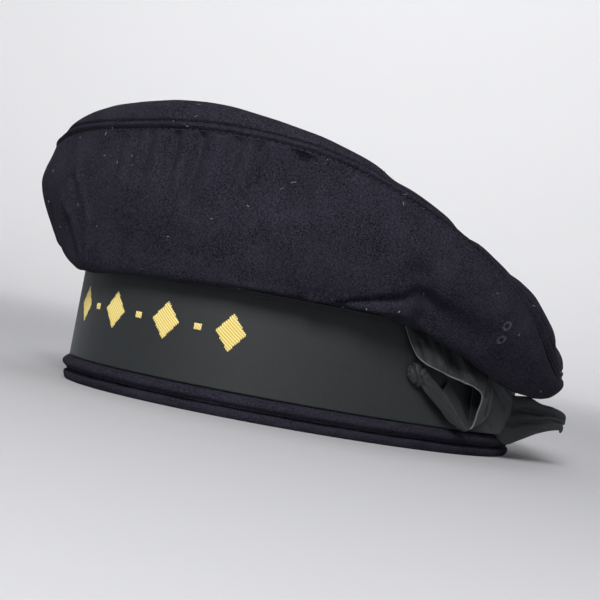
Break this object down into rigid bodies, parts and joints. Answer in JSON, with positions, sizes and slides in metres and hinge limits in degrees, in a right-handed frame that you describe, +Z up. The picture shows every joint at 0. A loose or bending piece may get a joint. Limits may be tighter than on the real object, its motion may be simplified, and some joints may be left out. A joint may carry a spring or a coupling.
{
  "type": "sailor cap",
  "caption": "Navy wool sailor cap with a soft full crown drooping to one side, a rolled rim, and a black ribbon band tied in a small bow at the wearer's left.",
  "frame": {"origin": "middle of the cap's outline, on the surface that the rim rests on", "axes": "+Z up, -Y the front of the cap, +X the wearer's left, where the bow is"},
  "size_m": [0.2276, 0.2394, 0.1105],
  "materials": {
    "wool": "dark navy milled wool melton, matte with a fine nap",
    "ribbon": "black woven ribbon with a dull sheen and a narrow doubled edge",
    "thread": "navy sewing thread, matte"
  },
  "bodies": {
    "root": {"crown_top": "wool", "crown_side": "wool", "headband": "wool", "band_welt": "wool", "hat_ribbon": "ribbon", "bow_loop": "ribbon", "bow_knot": "ribbon", "bow_tail_front": "ribbon", "bow_tail_back": "ribbon", "eyelet_lower": "thread", "eyelet_upper": "thread"}
  },
  "joints": []
}
